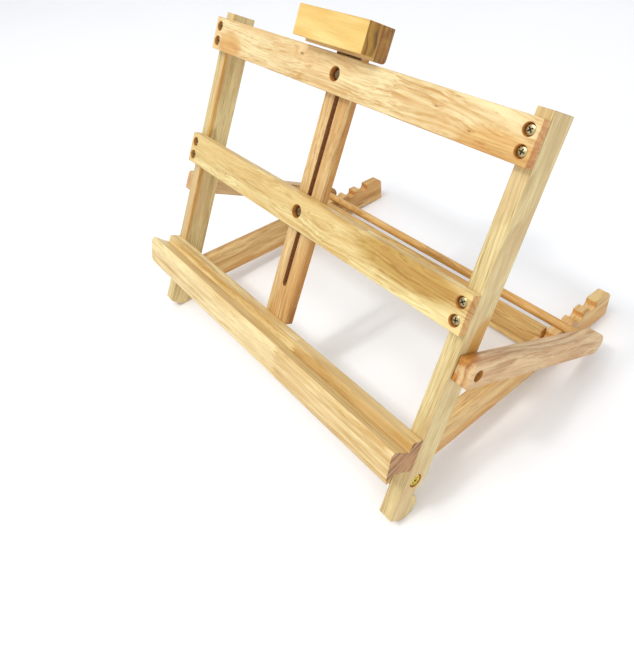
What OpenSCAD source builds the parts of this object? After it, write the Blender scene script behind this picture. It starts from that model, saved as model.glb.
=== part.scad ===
// Wooden table easel: a leaning front frame, a tray, a sliding mast with a
// clamp block, a notched base and a prop whose rod rests in the notches.
// Millimetres. X is to the right, Y to the back, Z up. The origin lies on the
// floor, below the middle of the whole easel.

/* [Front frame] */
// Width over the two posts
frame_w = 490; // [440:1:540]
// Width of a post, seen from the front
post_w = 17; // [15:0.5:20]
// Depth of a post, from front to back
post_d = 32; // [31:0.5:34]
// Length of a post above its front lower corner
post_l = 414; // [412:1:420]
// Lean of the frame from the vertical
lean = 30; // [28:0.5:31]

/* [Cross rails] */
// Height of a cross rail
rail_h = 40; // [38:0.5:41]
// Thickness of a cross rail
rail_t = 12; // [11:0.5:12.5]
// Lower edge of the upper rail, along the post
upper_s = 366; // [362:1:367]
// Lower edge of the lower rail, along the post
lower_s = 213.5; // [208:0.5:220]
// Counterbore of the rail screws
screw_bore_d = 11.5; // [11:0.5:12]
// Counterbore of the mast bolts
bolt_bore_d = 15; // [14:0.5:17]

/* [Tray] */
// Lower edge of the tray where it meets the posts
tray_s = 63; // [60:1:66]
// Height of the tray at its back ridge
tray_h = 37; // [34:1:40]
// Thickness of the back ridge
ridge_t = 15; // [13:1:17]
// Depth of the tray, from the posts to the lip
tray_d = 42.5; // [40:0.5:46]

/* [Mast and clamp] */
// Width of the mast
mast_w = 40; // [36:1:44]
// Thickness of the mast
mast_t = 11.7; // [11:0.1:12]
// Lower end of the mast, along the post
mast_s = 98; // [90:1:104]
// Width of the slot in the mast
slot_w = 7; // [6.5:0.1:8]
// Lower end of the slot, along the post
slot_s = 140; // [132:1:150]
// Width of the clamp block
block_w = 109; // [90:1:120]
// Height of the clamp block at its front
block_h = 31.5; // [28:0.5:36]
// Depth of the clamp block
block_d = 36; // [32:0.5:42]

/* [Base] */
// Height of a base rail
base_h = 40; // [39:0.5:41]
// Thickness of a base rail
base_t = 15.5; // [14:0.5:18]
// Length of a base rail behind its pivot
base_l = 379; // [372:1:384]
// Distance between two notches
notch_pitch = 29.5; // [29:0.5:30]
// Depth of a notch
notch_depth = 12; // [11.5:0.5:12]

/* [Prop] */
// Height of a prop arm
arm_h = 27; // [26:0.5:28]
// Thickness of a prop arm
arm_t = 18; // [15:0.5:20]
// Length of a prop arm behind the rod
arm_tail = 26; // [22:1:30]
// Diameter of the rod
rod_d = 12; // [11:0.5:12]

/* [Hidden] */

pine = [0.88, 0.74, 0.50];
pale_pine = [0.93, 0.82, 0.60];
dark_pine = [0.74, 0.54, 0.29];
brass_colour = [0.78, 0.64, 0.24];
steel_colour = [0.62, 0.62, 0.60];

half_w = frame_w / 2;
post_mid = post_d / 2;
post_inner = half_w - post_w;
post_x = half_w - post_w / 2;
gap = 0.4;             // side gap between parts that turn past each other
seat_gap = 0.3;        // gap under a part that slides or rests
pin_play = 0.05;       // radial play of a hinge screw
overcut = 1;           // how far a cut runs past a face
side_fn = 48;
big_fn = 96;

// foot: a round heel below a notch, and a long round shoulder above it
heel_r = 15.6;
heel_y = 18;
heel_s = 10.2;
toe_y = 9;
toe_s = -3.2;
notch_s = 27.5;        // height of the notch between heel and shoulder
shoulder_s = 54;       // where the shoulder meets the back of the post
shoulder_r = 38;
frame_z = heel_r + heel_y * sin(lean) - heel_s * cos(lean);

foot_pivot_s = 46;
arm_pivot_s = 180;
rail_screw_in = 9.5;   // from the end of a rail
rail_screw_low = 11;
rail_screw_high = 29;
rail_bore_depth = 4.5;
rail_screw_l = 26;
tray_bore_depth = 10;
tray_screw_in = 9;     // how far a tray screw goes into the tray
tip_room = 1;          // room in front of the tip of a screw
bolt_bore_depth = 6;
bolt_r = 3;
bolt_head_r = 6.6;
bolt_head_rim = 1.4;   // height of the straight rim of the head
bolt_head_step = 1.1;  // height of its sloping shoulder
bolt_head_cap = 1;     // height of its cap
bolt_cap_r = 5.4;
bolt_cap_top_r = 2.6;
bolt_neck = 0.5;       // overlap of shank and head

// tray section, measured from the front of the posts and its lower edge
lip_rise = 34.5;       // top of the lip
lip_top_y = 39.5;
lip_front_rise = 29.5;
lip_low_y = 37;
lip_low_rise = 2;
lip_foot_y = 33;
lip_foot_rise = -5;
lip_back_y = 29.5;
lip_back_rise = 5.5;
shelf_rise = 27;
ridge_lean = 0.6;      // the back ridge is a little wider at its foot
under_y = 11;          // hollow under the shelf
under_rise = 2.5;

mast_y = seat_gap;
mast_back = mast_y + mast_t;
mast_top_s = 440;
slot_top_s = 397;
block_s = 411.2;
block_heel = 3;        // how far the back board reaches lower
backer_t = 17.5;       // board at the back of the clamp
backer_r = 5;
clamp_sink = 3;        // how deep the heads of the clamp screws sit in the mast
clamp_screw_l = 30;
sink_play = 0.4;       // side room of a sunk screw head
clamp_tip_y = mast_back - clamp_sink - clamp_screw_l;
washer_t = 1.2;
washer_r = 8;
washer_y = mast_back + seat_gap;
nut_y = washer_y + washer_t + 0.1;
nut_t = 6;
nut_r = 6;
wing_span = 16;
wing_t = 2.6;
wing_h = 13;
wing_turn = 24;        // how far the nuts are turned when tight
wing_slant = 18;       // slant of the wings, away from the mast
wing_tip_r = 4;
wing_tip_rise = 0.5;   // tip of a wing above the middle of the nut
wing_root = 2;         // how deep a wing starts in the nut
wing_root_l = 0.5;
bolt_end_y = nut_y + nut_t + 8;

base_outer = post_inner - gap;
base_inner = base_outer - base_t;
base_top = base_h / 2;
notch_floor = base_top - notch_depth;
notch_first = 345.5;   // steep wall of the rearmost notch
notch_count = 4;
seat_notch = 2;        // the notch that holds the rod, counted from the back
tooth_drop = 3;        // teeth end this far below the top of the rail
rear_drop = 2;         // so does the end of the rail behind them
pocket_r = rod_d / 2 + seat_gap;
wall_lean = 0.5;
seat_flank_w = 12.8;
seat_flank_h = 3.6;
notch_slope_w = 17;    // from the steep wall to the top of the next tooth
lead_in = 4.1;         // start of the cleared ramp in front of the steep wall
lead_out = 11.9;       // end of the cleared ramp behind the steep wall
rear_top_r = 9;
rear_low_r = 3;
seat_wall = notch_first - seat_notch * notch_pitch;
rod_q = seat_wall - pocket_r;
rod_h = notch_floor + pocket_r;
teeth_q = notch_first - (notch_count - 1) * notch_pitch;
crossbar_q = 248.5;
crossbar_t = 12;
crossbar_screw_low = -13;
crossbar_screw_high = -1;
crossbar_sink = 3.2;   // how deep the heads of its screws sit in the rails
crossbar_screw_l = 28;

// how far the bores for the crossbar's screws reach from its ends
cross_tip = crossbar_screw_l + crossbar_sink - base_t + tip_room;

arm_nose = 12.5;       // arm in front of its pivot
arm_inner = half_w + gap;
arm_outer = arm_inner + arm_t;
rod_rise = 3;          // rod above the middle line of the arm
rod_socket = 11;
pivot_bore_d = 12;
pivot_bore_depth = 9;
pivot_r = 2.75;
pivot_hole_r = pivot_r + pin_play;
foot_bore_d = 15;
foot_bore_depth = 2.6;
foot_head_r = 6.8;
foot_screw_l = 28;
arm_screw_in = 14;     // how far an arm screw goes past the arm
arm_screw_up = 0.2;    // gap under the head of an arm screw
arm_hole_depth = arm_screw_in + 0.4;    // blind hole for it in the post
pivot_head_r = 5.4;

screw_r = 2;
screw_head_r = 4.6;
rail_head_r = 5.2;     // head of a rail screw
screw_head_h = 2.6;
cross_w = 1.3;
cross_l = 5.2;
cross_depth = 1.4;
head_rim = 0.45;       // part of a screw head's height that is straight
head_flat = 0.62;      // width of its flat top

// a point of the leaning frame, given by its depth y and its height s, measured
// from the front edge of the feet
function frame_y(y, s) = y * cos(lean) + s * sin(lean);
function frame_zz(y, s) = frame_z - y * sin(lean) + s * cos(lean);

base_z0 = frame_zz(post_mid, foot_pivot_s);
rest_q = base_l - rear_low_r;
base_pitch = asin(base_z0 / norm([rest_q, base_top])) - atan2(base_top, rest_q);
rear_y = frame_y(post_mid, foot_pivot_s) + (base_l - rear_top_r) * cos(base_pitch)
    + (base_top - rear_drop - rear_top_r) * sin(base_pitch) + rear_top_r;
mid_y = rear_y / 2;    // from the front edge of the feet to the middle of the easel
base_y0 = frame_y(post_mid, foot_pivot_s) - mid_y;
rod_y = base_y0 + rod_q * cos(base_pitch) + rod_h * sin(base_pitch);
rod_z = base_z0 - rod_q * sin(base_pitch) + rod_h * cos(base_pitch);
arm_y0 = frame_y(post_mid, arm_pivot_s) - mid_y;
arm_z0 = frame_zz(post_mid, arm_pivot_s);
arm_reach = norm([rod_y - arm_y0, rod_z - arm_z0]);
arm_pitch = atan2(arm_z0 - rod_z, rod_y - arm_y0) + asin(rod_rise / arm_reach);
rod_along = sqrt(arm_reach * arm_reach - rod_rise * rod_rise);

// places a piece of the leaning frame: local Y is its depth, local Z its height
module in_frame() {
    translate([0, -mid_y, frame_z]) rotate([-lean, 0, 0]) children();
}

// places a piece of the base: local Y runs back from the pivot
module in_base() {
    translate([0, base_y0, base_z0]) rotate([-base_pitch, 0, 0]) children();
}

// places a piece of the prop: local Y runs back from its pivot
module in_prop() {
    translate([0, arm_y0, arm_z0]) rotate([-arm_pitch, 0, 0]) children();
}

// a round bar along X from x0 to x1
module bar_x(r, x0, x1, fn = side_fn) {
    translate([x0, 0, 0]) rotate([0, 90, 0]) cylinder(r = r, h = x1 - x0, $fn = fn);
}

// a round bar along Y from y0 to y1
module bar_y(r, y0, y1, fn = side_fn) {
    translate([0, y0, 0]) rotate([-90, 0, 0]) cylinder(r = r, h = y1 - y0, $fn = fn);
}

// extrudes an outline drawn in depth and height to a board from x0 to x1
module board_x(x0, x1) {
    translate([x0, 0, 0]) rotate([90, 0, 90]) linear_extrude(height = x1 - x0) children();
}

// a domed screw that points along +Z, with the underside of its head at Z 0
module screw(head_r, head_h, r, length) {
    difference() {
        union() {
            cylinder(r = head_r, h = head_h * head_rim, $fn = side_fn);
            translate([0, 0, head_h * head_rim])
                cylinder(r1 = head_r, r2 = head_r * head_flat, h = head_h * (1 - head_rim),
                    $fn = side_fn);
            translate([0, 0, -length]) cylinder(r = r, h = length, $fn = side_fn);
        }
        for (turn = [0, 90])
            rotate([0, 0, turn])
                translate([-cross_l / 2, -cross_w / 2, head_h - cross_depth])
                    cube([cross_l, cross_w, cross_depth + overcut]);
    }
}

// outline of a post with its round heel, the notch above it and the shoulder
module post_outline() {
    translate([0, shoulder_s]) square([post_d, post_l - shoulder_s]);
    intersection() {
        translate([0, notch_s]) square([post_d, shoulder_s - notch_s + overcut]);
        translate([post_d - shoulder_r, shoulder_s]) circle(r = shoulder_r, $fn = big_fn);
    }
    translate([heel_y, heel_s]) circle(r = heel_r, $fn = big_fn);
    polygon([[0, 0], [toe_y, toe_s], [heel_y, heel_s], [heel_y, notch_s + overcut],
        [0, notch_s + overcut]]);
}

// a post from x0 to x1, with the counterbore for its foot pivot on side
module post(x0, x1, side) {
    outer = side > 0 ? x1 : x0;
    in_frame() difference() {
        board_x(x0, x1) post_outline();
        translate([0, post_mid, foot_pivot_s]) {
            bar_x(pivot_hole_r, x0 - overcut, x1 + overcut);
            bar_x(foot_bore_d / 2, outer - (side > 0 ? foot_bore_depth : overcut),
                outer + (side > 0 ? overcut : foot_bore_depth));
        }
        translate([0, post_mid, arm_pivot_s])
            bar_x(pivot_r, outer - (side > 0 ? arm_hole_depth : overcut),
                outer + (side > 0 ? overcut : arm_hole_depth));
        for (s = [upper_s, lower_s], up = [rail_screw_low, rail_screw_high])
            translate([side * (half_w - rail_screw_in), 0, s + up])
                bar_y(screw_r, -overcut, rail_bore_depth - rail_t + rail_screw_l + tip_room);
        translate([side * post_x, 0, tray_s + tray_h / 2]) {
            bar_y(screw_r, -overcut, post_d + overcut);
            bar_y(screw_bore_d / 2, post_d - tray_bore_depth, post_d + overcut);
        }
    }
}

module post_left() {
    color(pale_pine) post(-half_w, -post_inner, -1);
}

module post_right() {
    color(pale_pine) post(post_inner, half_w, 1);
}

// a cross rail whose lower edge lies at s
module cross_rail(s) {
    in_frame() difference() {
        translate([-half_w, -rail_t, s]) cube([frame_w, rail_t, rail_h]);
        for (side = [-1, 1], up = [rail_screw_low, rail_screw_high])
            translate([side * (half_w - rail_screw_in), 0, s + up]) {
                bar_y(screw_r, -rail_t - overcut, overcut);
                bar_y(screw_bore_d / 2, -rail_t - overcut, rail_bore_depth - rail_t);
            }
        translate([0, 0, s + rail_h / 2]) {
            bar_y(bolt_r, -rail_t - overcut, overcut);
            bar_y(bolt_bore_d / 2, -rail_t - overcut, bolt_bore_depth - rail_t);
        }
    }
}

module upper_rail() {
    color(pine) cross_rail(upper_s);
}

module lower_rail() {
    color(pine) cross_rail(lower_s);
}

module tray() {
    color(pine) in_frame() difference() {
        board_x(-half_w, half_w) translate([0, tray_s])
            polygon([[0, 0], [0, tray_h], [-ridge_t, tray_h],
                [-ridge_t - ridge_lean, shelf_rise],
                [-lip_top_y, lip_rise], [-tray_d, lip_front_rise],
                [-lip_low_y, lip_low_rise], [-lip_foot_y, lip_foot_rise],
                [-lip_back_y, lip_back_rise], [-under_y, under_rise]]);
        for (side = [-1, 1])
            translate([side * post_x, 0, tray_s + tray_h / 2])
                bar_y(screw_r, -tray_screw_in - tip_room, overcut);
    }
}

module rail_screws() {
    color(brass_colour) in_frame()
        for (s = [upper_s, lower_s], side = [-1, 1], up = [rail_screw_low, rail_screw_high])
            translate([side * (half_w - rail_screw_in), rail_bore_depth - rail_t, s + up])
                rotate([90, 20 * side + s, 0])
                    screw(rail_head_r, screw_head_h, screw_r, rail_screw_l);
}

module tray_screws() {
    color(steel_colour) in_frame()
        for (side = [-1, 1])
            translate([side * post_x, post_d - tray_bore_depth, tray_s + tray_h / 2])
                rotate([-90, 0, 0])
                    screw(screw_head_r, screw_head_h, screw_r,
                        post_d - tray_bore_depth + tray_screw_in);
}

// carriage bolts through the rails and the slot of the mast
module mast_bolts() {
    color(steel_colour) in_frame()
        for (s = [upper_s, lower_s])
            translate([0, 0, s + rail_h / 2]) {
                bar_y(bolt_r, bolt_bore_depth - rail_t - bolt_neck, bolt_end_y);
                translate([0, bolt_bore_depth - rail_t, 0]) rotate([90, 0, 0]) {
                    cylinder(r = bolt_head_r, h = bolt_head_rim, $fn = side_fn);
                    translate([0, 0, bolt_head_rim])
                        cylinder(r1 = bolt_head_r, r2 = bolt_cap_r, h = bolt_head_step,
                            $fn = side_fn);
                    translate([0, 0, bolt_head_rim + bolt_head_step])
                        cylinder(r1 = bolt_cap_r, r2 = bolt_cap_top_r, h = bolt_head_cap,
                            $fn = side_fn);
                }
            }
}

module mast_washers() {
    color(steel_colour) in_frame()
        for (s = [upper_s, lower_s])
            translate([0, 0, s + rail_h / 2]) difference() {
                bar_y(washer_r, washer_y, washer_y + washer_t);
                bar_y(bolt_r, washer_y - overcut, washer_y + washer_t + overcut);
            }
}

// wing nut on the bolt whose height along the frame is s
module wing_nut(s) {
    in_frame() translate([0, nut_y, s]) difference() {
        union() {
            bar_y(nut_r, 0, nut_t);
            for (side = [-1, 1])
                rotate([0, wing_turn, 0]) translate([0, nut_t / 2, 0])
                    rotate([0, 0, side * wing_slant])
                        hull() {
                            translate([side * (nut_r - wing_root), -nut_t / 3, -wing_t / 2])
                                cube([wing_root_l, nut_t * 2 / 3, wing_t]);
                            translate([side * (wing_span - wing_tip_r),
                                wing_tip_r - wing_tip_rise, -wing_t / 2])
                                cylinder(r = wing_tip_r, h = wing_t, $fn = side_fn);
                        }
        }
        bar_y(bolt_r + pin_play, -overcut, nut_t + overcut);
        bar_y(bolt_r + overcut, nut_t, nut_t + wing_h);
    }
}

module wing_nut_upper() {
    color(steel_colour) wing_nut(upper_s + rail_h / 2);
}

module wing_nut_lower() {
    color(steel_colour) wing_nut(lower_s + rail_h / 2);
}

module mast() {
    color(pine) in_frame() difference() {
        translate([-mast_w / 2, mast_y, mast_s])
            cube([mast_w, mast_t, mast_top_s - mast_s]);
        translate([-slot_w / 2, mast_y - overcut, slot_s + slot_w / 2])
            cube([slot_w, mast_t + 2 * overcut, slot_top_s - slot_s - slot_w]);
        for (s = [slot_s + slot_w / 2, slot_top_s - slot_w / 2])
            translate([0, 0, s]) bar_y(slot_w / 2, mast_y - overcut, mast_back + overcut);
        for (side = [-1, 1])
            translate([side * mast_w / 4, 0, block_s + block_h / 2]) {
                bar_y(screw_r, mast_y - overcut, mast_back + overcut);
                bar_y(screw_head_r + sink_play, mast_back - clamp_sink, mast_back + overcut);
            }
    }
}

// front block of the clamp, which overhangs the canvas
module clamp_head() {
    color(pale_pine) in_frame() difference() {
        board_x(-block_w / 2, block_w / 2)
            translate([mast_y - block_d, block_s]) square([block_d - backer_t, block_h]);
        for (side = [-1, 1])
            translate([side * mast_w / 4, 0, block_s + block_h / 2])
                bar_y(screw_r, clamp_tip_y - tip_room, 0);
    }
}

// board glued behind the front block, which reaches a little lower
module clamp_backer() {
    color(pine) in_frame() difference() {
        board_x(-block_w / 2, block_w / 2) {
            translate([mast_y - backer_t, block_s - block_heel])
                square([backer_t - backer_r, block_h + block_heel]);
            translate([mast_y - backer_r - overcut, block_s - block_heel + backer_r])
                square([backer_r + overcut, block_h + block_heel - backer_r]);
            translate([mast_y - backer_r, block_s - block_heel + backer_r])
                circle(r = backer_r, $fn = side_fn);
        }
        for (side = [-1, 1])
            translate([side * mast_w / 4, 0, block_s + block_h / 2])
                bar_y(screw_r, clamp_tip_y - tip_room, mast_y + overcut);
    }
}

module clamp_screws() {
    color(steel_colour) in_frame()
        for (side = [-1, 1])
            translate([side * mast_w / 4, mast_back - clamp_sink, block_s + block_h / 2])
                rotate([-90, 30 * side, 0])
                    screw(screw_head_r, screw_head_h, screw_r, clamp_screw_l);
}

// a notch with a round pocket in front of its steep wall at 0
module open_notch() {
    translate([-pocket_r, pocket_r]) circle(r = pocket_r, $fn = side_fn);
    polygon([[-wall_lean, pocket_r + wall_lean], [wall_lean, notch_depth + overcut],
        [-notch_slope_w, notch_depth + overcut],
        [-notch_slope_w, notch_depth - tooth_drop],
        [-pocket_r * (1 + cos(30)), pocket_r * (1 - sin(30))], [-pocket_r, pocket_r]]);
}

// the notch that holds the rod: behind the rod it slopes, so that the rod can swing out
module seat() {
    polygon([[lead_out, notch_depth], [lead_out, notch_depth + overcut],
        [-notch_slope_w, notch_depth + overcut],
        [-notch_slope_w, notch_depth - tooth_drop],
        [-seat_flank_w, seat_flank_h], [-seat_flank_w + seat_flank_h, 0], [-lead_in, 0]]);
}

// outline of a base rail, with its pivot at the origin
module base_outline() {
    difference() {
        union() {
            circle(r = base_top, $fn = big_fn);
            translate([0, -base_top]) square([notch_first - overcut, base_h]);
            translate([0, -base_top]) square([base_l - rear_top_r, base_h - rear_drop]);
            translate([base_l - rear_top_r - overcut, rear_low_r - base_top])
                square([rear_top_r + overcut, base_h - rear_drop - rear_top_r - rear_low_r]);
            translate([base_l - rear_top_r, base_top - rear_drop - rear_top_r])
                circle(r = rear_top_r, $fn = big_fn);
            translate([base_l - rear_top_r - overcut, -base_top])
                square([rear_top_r + overcut - rear_low_r, rear_low_r + overcut]);
            translate([base_l - rear_low_r, rear_low_r - base_top])
                circle(r = rear_low_r, $fn = side_fn);
        }
        for (i = [0 : notch_count - 1])
            if (i != seat_notch)
                translate([notch_first - i * notch_pitch, notch_floor]) open_notch();
        translate([seat_wall, notch_floor]) seat();
        translate([teeth_q, base_top - tooth_drop])
            square([notch_first - teeth_q, tooth_drop + overcut]);
    }
}

// a base rail from x0 to x1, with its outer face on side
module base_rail(x0, x1, side) {
    outer = side > 0 ? x1 : x0;
    in_base() difference() {
        board_x(x0, x1) base_outline();
        bar_x(pivot_r, x0 - overcut, x1 + overcut);
        for (up = [crossbar_screw_low, crossbar_screw_high])
            translate([0, crossbar_q + crossbar_t / 2, up]) {
                bar_x(screw_r, x0 - overcut, x1 + overcut);
                bar_x(screw_head_r + sink_play, outer - (side > 0 ? crossbar_sink : overcut),
                    outer + (side > 0 ? overcut : crossbar_sink));
            }
    }
}

module base_rail_left() {
    color(pine) base_rail(-base_outer, -base_inner, -1);
}

module base_rail_right() {
    color(pine) base_rail(base_inner, base_outer, 1);
}

module crossbar() {
    color(dark_pine) in_base() difference() {
        translate([-base_inner, crossbar_q, -base_top])
            cube([2 * base_inner, crossbar_t, base_h]);
        for (side = [-1, 1], up = [crossbar_screw_low, crossbar_screw_high])
            translate([side * base_inner, crossbar_q + crossbar_t / 2, up])
                bar_x(screw_r, -cross_tip, cross_tip);
    }
}

module crossbar_screws() {
    color(steel_colour) in_base()
        for (side = [-1, 1], up = [crossbar_screw_low, crossbar_screw_high])
            translate([side * (base_outer - crossbar_sink), crossbar_q + crossbar_t / 2, up])
                rotate([0, 90 * side, 0])
                    screw(screw_head_r, screw_head_h, screw_r, crossbar_screw_l);
}

module foot_pivot_screws() {
    color(brass_colour)
        translate([0, base_y0, base_z0])
            for (side = [-1, 1])
                translate([side * (half_w - foot_bore_depth), 0, 0])
                    rotate([0, 90 * side, 0])
                        screw(foot_head_r, screw_head_h, pivot_r, foot_screw_l);
}

// a prop arm from x0 to x1, with its outer face on side
module arm(x0, x1, side) {
    outer = side > 0 ? x1 : x0;
    socket0 = side > 0 ? x0 - overcut : x1 - rod_socket;
    socket1 = side > 0 ? x0 + rod_socket : x1 + overcut;
    in_prop() difference() {
        board_x(x0, x1) union() {
            translate([-arm_nose, -arm_h / 2])
                square([arm_nose + rod_along + arm_tail - arm_h / 2, arm_h]);
            translate([rod_along + arm_tail - arm_h / 2, 0])
                circle(r = arm_h / 2, $fn = big_fn);
        }
        bar_x(pivot_hole_r, x0 - overcut, x1 + overcut);
        bar_x(pivot_bore_d / 2, outer - (side > 0 ? pivot_bore_depth : overcut),
            outer + (side > 0 ? overcut : pivot_bore_depth));
        translate([0, rod_along, rod_rise]) bar_x(rod_d / 2, socket0, socket1);
    }
}

module arm_left() {
    color(pine) arm(-arm_outer, -arm_inner, -1);
}

module arm_right() {
    color(pine) arm(arm_inner, arm_outer, 1);
}

module rod() {
    color(dark_pine) translate([0, rod_y, rod_z])
        bar_x(rod_d / 2, -arm_inner - rod_socket, arm_inner + rod_socket);
}

// screws on which the arms turn, sunk deep in the arms and held by the posts
module arm_pivot_screws() {
    color(steel_colour) translate([0, arm_y0, arm_z0])
        for (side = [-1, 1])
            translate([side * (arm_outer - pivot_bore_depth + arm_screw_up), 0, 0])
                rotate([0, 90 * side, 0])
                    screw(pivot_head_r, screw_head_h, pivot_r,
                        arm_t - pivot_bore_depth + arm_screw_in);
}

post_left();
post_right();
upper_rail();
lower_rail();
tray();
rail_screws();
tray_screws();
mast_bolts();
mast_washers();
arm_pivot_screws();
mast();
clamp_head();
clamp_backer();
clamp_screws();
wing_nut_upper();
wing_nut_lower();
base_rail_left();
base_rail_right();
crossbar();
crossbar_screws();
foot_pivot_screws();
arm_left();
arm_right();
rod();
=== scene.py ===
import bmesh, bpy, math, random
from mathutils import Matrix, Vector


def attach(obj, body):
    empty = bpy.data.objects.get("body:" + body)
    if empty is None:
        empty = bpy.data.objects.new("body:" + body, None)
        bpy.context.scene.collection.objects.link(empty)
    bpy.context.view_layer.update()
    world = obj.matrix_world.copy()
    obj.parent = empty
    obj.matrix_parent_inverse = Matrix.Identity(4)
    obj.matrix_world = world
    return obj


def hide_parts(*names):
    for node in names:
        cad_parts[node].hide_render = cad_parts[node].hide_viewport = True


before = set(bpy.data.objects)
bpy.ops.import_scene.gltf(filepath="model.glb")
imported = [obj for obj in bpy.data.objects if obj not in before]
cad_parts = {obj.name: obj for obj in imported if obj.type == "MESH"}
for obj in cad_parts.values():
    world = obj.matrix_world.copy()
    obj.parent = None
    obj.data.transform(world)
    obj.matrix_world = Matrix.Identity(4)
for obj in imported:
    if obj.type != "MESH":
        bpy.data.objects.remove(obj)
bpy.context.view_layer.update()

MM = 0.001               # sizes are in mm until new_mesh and place turn them into metres
rng = random.Random(11)
scene = bpy.context.scene


def rad(a):
    return math.radians(a)


# ---------------------------------------------------------------- sizes and frames of the object, as in part.scad
LEAN = rad(30)
HEEL_Y, HEEL_S, HEEL_R = 18, 10.2, 15.6            # the round heel that the posts stand on
FRAME_Z = HEEL_R + HEEL_Y * math.sin(LEAN) - HEEL_S * math.cos(LEAN)
HALF = 245.0
POST_W, POST_D, POST_L = 17.0, 32.0, 414.0
RAIL_H, RAIL_T, UPPER_S, LOWER_S = 40.0, 12.0, 366.0, 213.5
TRAY_S = 63.0
PIVOT_S, ARM_S, MID = 46.0, 180.0, 16.0
BASE_L, BASE_H, BASE_T = 379.0, 40.0, 15.5
FIRST, PITCH, COUNT, SEAT = 345.5, 29.5, 4, 2       # notches; the rod lies in the one that SEAT counts from the rear
REST_R, REAR_R, REAR_DROP, TOOTH_DROP = 3.0, 9.0, 2.0, 3.0
FLOOR_H, POCKET = 8.0, 6.3
CROSS_Q, CROSS_T = 248.5, 12.0
ARM_H, ARM_T, ARM_NOSE, ARM_TAIL, GAP = 27.0, 18.0, 12.5, 26.0, 0.4
MAST_Y, MAST_T, MAST_W, MAST_S, MAST_TOP = 0.3, 11.7, 40.0, 98.0, 440.0
SLOT_R, SLOT_LOW, SLOT_HIGH = 3.5, 143.5, 393.5
CLAMP_HALF, CLAMP_LOW, CLAMP_TOP, CLAMP_FRONT, GLUE_LINE = 54.5, 411.2, 442.7, -35.7, -17.2
ROD_R, ROD_IN, ROD_DROP = 6.0, 11.0, 3.0            # ROD_DROP: the rod lies off the middle line of the arms
# radius of each counterbore, then its depth
SCREW_BORE_R, WIDE_BORE_R, ARM_BORE_R, SMALL_BORE_R = 5.75, 7.5, 6.0, 5.0
RAIL_BORE, BOLT_BORE, FOOT_BORE, ARM_BORE, TRAY_BORE, CLAMP_BORE, CROSS_BORE = 4.5, 6.0, 2.6, 9.0, 10.0, 3.0, 3.2
# radius of each plain hole behind a counterbore
SCREW_HOLE_R, PIVOT_HOLE_R, FREE_HOLE_R, BOLT_HOLE_R = 2.0, 2.75, 2.8, 3.05
ARM_SCREW_HOLE = 14.4                               # depth of the blind hole in a post
SCREW_IN, SCREW_ROWS, TRAY_SCREW_S = 9.5, (11, 29), 18.5


def frame_yz(y, s):
    return (y * math.cos(LEAN) + s * math.sin(LEAN), FRAME_Z - y * math.sin(LEAN) + s * math.cos(LEAN))


BY, BZ = frame_yz(MID, PIVOT_S)
AY, AZ = frame_yz(MID, ARM_S)
REST_Q = BASE_L - REST_R
BASE_A = math.asin(BZ / math.hypot(REST_Q, BASE_H / 2)) - math.atan2(BASE_H / 2, REST_Q)
SEAT_WALL = FIRST - SEAT * PITCH
ROD_Q, ROD_H = SEAT_WALL - POCKET, FLOOR_H + POCKET
ROD_Y = BY + ROD_Q * math.cos(BASE_A) + ROD_H * math.sin(BASE_A)
ROD_Z = BZ - ROD_Q * math.sin(BASE_A) + ROD_H * math.cos(BASE_A)
REACH = math.hypot(ROD_Y - AY, ROD_Z - AZ)
ARM_A = math.atan2(AZ - ROD_Z, ROD_Y - AY) + math.asin(ROD_DROP / REACH)
ROD_ALONG = math.sqrt(REACH ** 2 - ROD_DROP ** 2)
REAR_Y = (BY + (BASE_L - REAR_R) * math.cos(BASE_A)
          + (BASE_H / 2 - REAR_DROP - REAR_R) * math.sin(BASE_A) + REAR_R)
MID_Y = REAR_Y / 2      # the origin lies in the middle of the footprint


def place(y, z, angle):
    return Matrix.Translation((0, (y - MID_Y) * MM, z * MM)) @ Matrix.Rotation(-angle, 4, "X")


IN_FRAME = place(0, FRAME_Z, LEAN)
IN_BASE = place(BY, BZ, BASE_A)
IN_PROP = place(AY, AZ, ARM_A)


# ---------------------------------------------------------------- mesh helpers
def new_mesh(name, verts, faces):
    me = bpy.data.meshes.new(name)
    me.from_pydata([Vector(v) * MM for v in verts], [], faces)
    me.validate()
    me.update()
    return me


def new_obj(name, me, matrix=None):
    ob = bpy.data.objects.new(name, me)
    scene.collection.objects.link(ob)
    if matrix is not None:
        ob.matrix_world = matrix
    return ob


def settle(ob):
    """Applies every modifier on the object."""
    bpy.context.view_layer.update()
    deps = bpy.context.evaluated_depsgraph_get()
    me = bpy.data.meshes.new_from_object(ob.evaluated_get(deps), depsgraph=deps)
    old = ob.data
    ob.modifiers.clear()
    ob.data = me
    bpy.data.meshes.remove(old)


def prism(name, outline, x0, x1):
    """A board from x0 to x1 whose outline is drawn in (y, z)."""
    n = len(outline)
    verts = [(x0, y, z) for y, z in outline] + [(x1, y, z) for y, z in outline]
    area = sum(outline[i][0] * outline[(i + 1) % n][1] - outline[(i + 1) % n][0] * outline[i][1]
               for i in range(n))
    near, far = list(range(n)), list(range(n, 2 * n))
    sides = [(i, (i + 1) % n, n + (i + 1) % n, n + i) for i in range(n)]
    if area > 0:
        faces = [tuple(reversed(near)), tuple(far)] + sides
    else:
        faces = [tuple(near), tuple(reversed(far))] + [tuple(reversed(f)) for f in sides]
    return new_mesh(name, verts, faces)


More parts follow.
